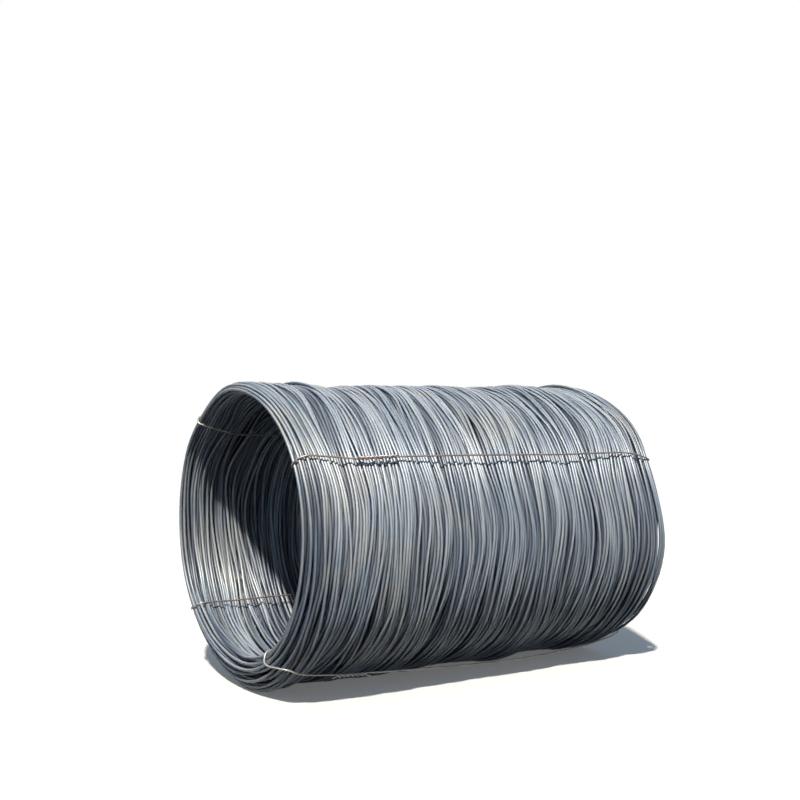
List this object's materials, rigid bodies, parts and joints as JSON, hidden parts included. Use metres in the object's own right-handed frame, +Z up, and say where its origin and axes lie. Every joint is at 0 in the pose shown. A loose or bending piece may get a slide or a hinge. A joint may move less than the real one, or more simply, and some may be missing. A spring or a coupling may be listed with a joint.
{
  "type": "coil of wire rod",
  "caption": "Coil of hot-rolled steel wire rod lying on its side, open through its bore and held by binding wires with twisted knots.",
  "frame": {"origin": "on the floor under the middle of the coil", "axes": "+Y along the coil's axis, away from the end that is next to the knots of the binding wires; +Z up; +X to the right when looking along +Y"},
  "size_m": [1.285, 1.771, 1.2436],
  "materials": {
    "wire_rod": "blue-grey mill scale, satin, with paler rubbed crests and dark gaps",
    "binding_wire": "dull steel wire with light brown rust"
  },
  "bodies": {
    "root": {"rod_coil": "wire_rod", "tie_wire_upper_right": "binding_wire", "tie_wire_upper_left": "binding_wire", "tie_wire_lower_left": "binding_wire", "tie_wire_lower_right": "binding_wire"}
  },
  "joints": []
}
